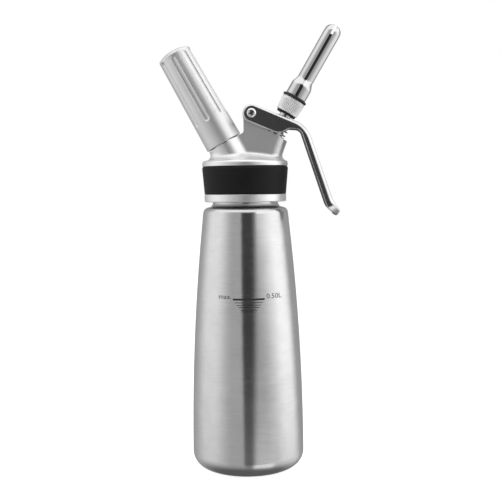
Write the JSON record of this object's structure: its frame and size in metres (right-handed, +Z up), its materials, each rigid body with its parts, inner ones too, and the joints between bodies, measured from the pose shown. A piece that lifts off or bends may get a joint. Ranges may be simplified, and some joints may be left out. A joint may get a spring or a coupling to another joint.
{
  "type": "whipped cream dispenser",
  "caption": "Cylindrical steel bottle with a screwed head that carries a sprung dispensing lever, a slotted decorating nozzle and a leaning gas charger holder.",
  "frame": {"origin": "centre of the bottle foot, on the surface that it stands on", "axes": "+Z up along the bottle, +X towards the nozzle and lever, -Y the front"},
  "size_m": [0.1257, 0.0786, 0.3093],
  "materials": {
    "bottle_steel": "fine brushing round the axis",
    "head_steel": "satin",
    "lever_steel": "satin",
    "bright_steel": "bright turned",
    "spring_steel": "drawn wire",
    "nozzle_steel": "mirror polished",
    "pale_aluminium": "fine straight knurl",
    "holder_aluminium": "fine satin",
    "charger_steel": "plain steel cartridge",
    "black_rubber": "satin",
    "seal_rubber": "matt",
    "white_silicone": "matt"
  },
  "bodies": {
    "bottle": {"bottle": "bottle_steel"},
    "gasket": {"head_gasket": "white_silicone"},
    "head": {"head_body": "head_steel", "grip_band": "black_rubber", "lever_pivot_sleeve": "bright_steel", "lever_pivot_screw": "bright_steel", "valve_gland": "bright_steel", "gland_seal_ring": "seal_rubber", "stem_o_ring": "seal_rubber", "spring_washer": "bright_steel", "valve_spring": "spring_steel", "inlet_nipple": "bright_steel", "nipple_seal_ring": "seal_rubber", "piercing_pin": "bright_steel", "inlet_gasket": "seal_rubber", "check_valve_spring": "spring_steel", "check_valve_plug": "bright_steel"},
    "lever": {"lever": "lever_steel"},
    "stem": {"valve_stem": "bright_steel", "valve_seal": "seal_rubber", "valve_seal_nut": "bright_steel", "nozzle_adapter": "pale_aluminium"},
    "nozzle_ring": {"adapter_o_ring": "seal_rubber"},
    "nozzle": {"nozzle": "nozzle_steel"},
    "charger": {"gas_charger": "charger_steel"},
    "holder": {"charger_holder": "holder_aluminium"},
    "check_valve": {"check_valve_poppet": "bright_steel"}
  },
  "joints": [
    {"name": "head_lift", "type": "slide", "parent": "bottle", "child": "gasket", "axis": [0, 0, 1], "range_m": [0, 0.01]},
    {"name": "head_turn", "type": "hinge", "parent": "gasket", "child": "head", "pos_m": [0, 0, 0.2], "axis": [0, 0, 1], "range_deg": [0, 900]},
    {"name": "lever_press", "type": "hinge", "parent": "head", "child": "lever", "pos_m": [0.00487, 0, 0.24865], "axis": [0, 1, 0], "range_deg": [0, 8], "stiffness_Nm_per_rad": 0.58, "springref_deg": -16.5},
    {"name": "stem_slide", "type": "slide", "parent": "head", "child": "stem", "axis": [-0.506, 0, -0.8625], "range_m": [0, 0.002], "deforming": ["valve_spring"]},
    {"name": "nozzle_lift", "type": "slide", "parent": "stem", "child": "nozzle_ring", "axis": [0.506, 0, 0.8625], "range_m": [0, 0.006]},
    {"name": "nozzle_turn", "type": "hinge", "parent": "nozzle_ring", "child": "nozzle", "pos_m": [0.0207, 0, 0.23423], "axis": [0.506, 0, 0.8625], "range_deg": [0, 1080]},
    {"name": "charger_slide", "type": "slide", "parent": "head", "child": "charger", "axis": [-0.4848, 0, 0.8746], "range_m": [0, 0.009]},
    {"name": "holder_turn", "type": "hinge", "parent": "charger", "child": "holder", "pos_m": [-0.01447, 0, 0.22877], "axis": [-0.4848, 0, 0.8746], "range_deg": [0, 1620]},
    {"name": "check_valve_slide", "type": "slide", "parent": "head", "child": "check_valve", "axis": [0.4848, 0, -0.8746], "range_m": [0, 0.0015], "stiffness_N_per_m": 60, "springref_m": -0.003, "deforming": ["check_valve_spring"]}
  ],
  "couplings": [
    {"joint": "head_turn", "follows": "head_lift", "rad_per_m": 1570.8},
    {"joint": "stem_slide", "follows": "lever_press", "m_per_rad": 0.0139},
    {"joint": "nozzle_turn", "follows": "nozzle_lift", "rad_per_m": 3141.6},
    {"joint": "holder_turn", "follows": "charger_slide", "rad_per_m": 3141.6}
  ]
}
